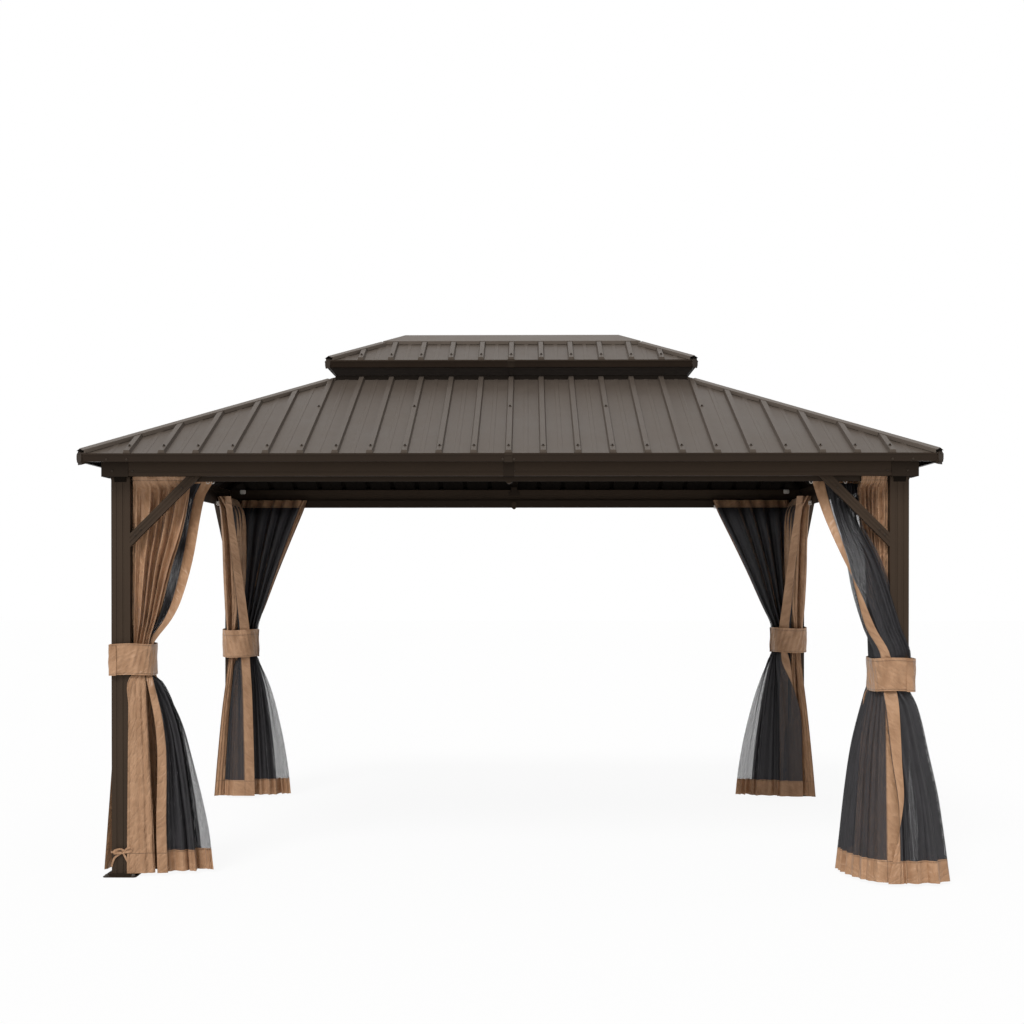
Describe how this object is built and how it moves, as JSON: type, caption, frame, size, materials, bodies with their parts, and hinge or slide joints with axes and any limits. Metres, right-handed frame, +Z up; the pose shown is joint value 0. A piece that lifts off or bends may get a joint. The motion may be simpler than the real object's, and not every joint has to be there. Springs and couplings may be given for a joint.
{
  "type": "hardtop garden gazebo",
  "caption": "Free-standing metal gazebo with a two-tier hipped roof of ribbed sheet, fluted posts with knee braces, and tied-back curtains and insect nets",
  "frame": {"origin": "on the ground under the middle of the roof, at the bottom centre of the bounding box", "axes": "+X along the long side, to the right as seen from the front; +Y from the front to the rear; +Z up"},
  "size_m": [4.281, 3.01, 2.9524],
  "materials": {
    "frame_paint": "satin dark brown powder coat",
    "roof_sheet": "satin grey brown coated steel sheet",
    "roof_trim": "satin dark brown coated metal",
    "trim_caps": "matt dark brown moulded plastic",
    "curtain_fabric": "woven tan polyester with stitched hems"
  },
  "bodies": {
    "root": {"base_plate_front_left": "frame_paint", "base_plate_front_right": "frame_paint", "base_plate_rear_left": "frame_paint", "base_plate_rear_right": "frame_paint", "beam_front": "frame_paint", "beam_left": "frame_paint", "beam_rear": "frame_paint", "beam_right": "frame_paint", "beam_splices": "frame_paint", "corner_sleeves": "frame_paint", "curtain_front_left": "curtain_fabric", "curtain_front_right": "curtain_fabric", "curtain_rails": "frame_paint", "curtain_rear_left": "curtain_fabric", "curtain_rear_right": "curtain_fabric", "curtain_ties": "curtain_fabric", "eave_covers": "trim_caps", "eave_fascia": "roof_trim", "hip_rafter_front_left": "frame_paint", "hip_rafter_front_right": "frame_paint", "hip_rafter_rear_left": "frame_paint", "hip_rafter_rear_right": "frame_paint", "knee_braces_front_left": "frame_paint", "knee_braces_front_right": "frame_paint", "knee_braces_rear_left": "frame_paint", "knee_braces_rear_right": "frame_paint", "lower_hip_covers": "roof_trim", "lower_roof_front": "roof_sheet", "lower_roof_left": "roof_sheet", "lower_roof_rear": "roof_sheet", "lower_roof_right": "roof_sheet", "post_front_left": "frame_paint", "post_front_right": "frame_paint", "post_rear_left": "frame_paint", "post_rear_right": "frame_paint", "purlins": "frame_paint", "rafter_brackets": "frame_paint", "rafters": "frame_paint", "rail_joiners": "frame_paint", "ridge_cover": "roof_trim", "upper_covers": "trim_caps", "upper_fascia": "roof_trim", "upper_frame": "frame_paint", "upper_hip_covers": "roof_trim", "upper_roof_front": "roof_sheet", "upper_roof_left": "roof_sheet", "upper_roof_rear": "roof_sheet", "upper_roof_right": "roof_sheet", "vent_frame": "frame_paint", "vent_screens": "roof_trim"}
  },
  "joints": []
}
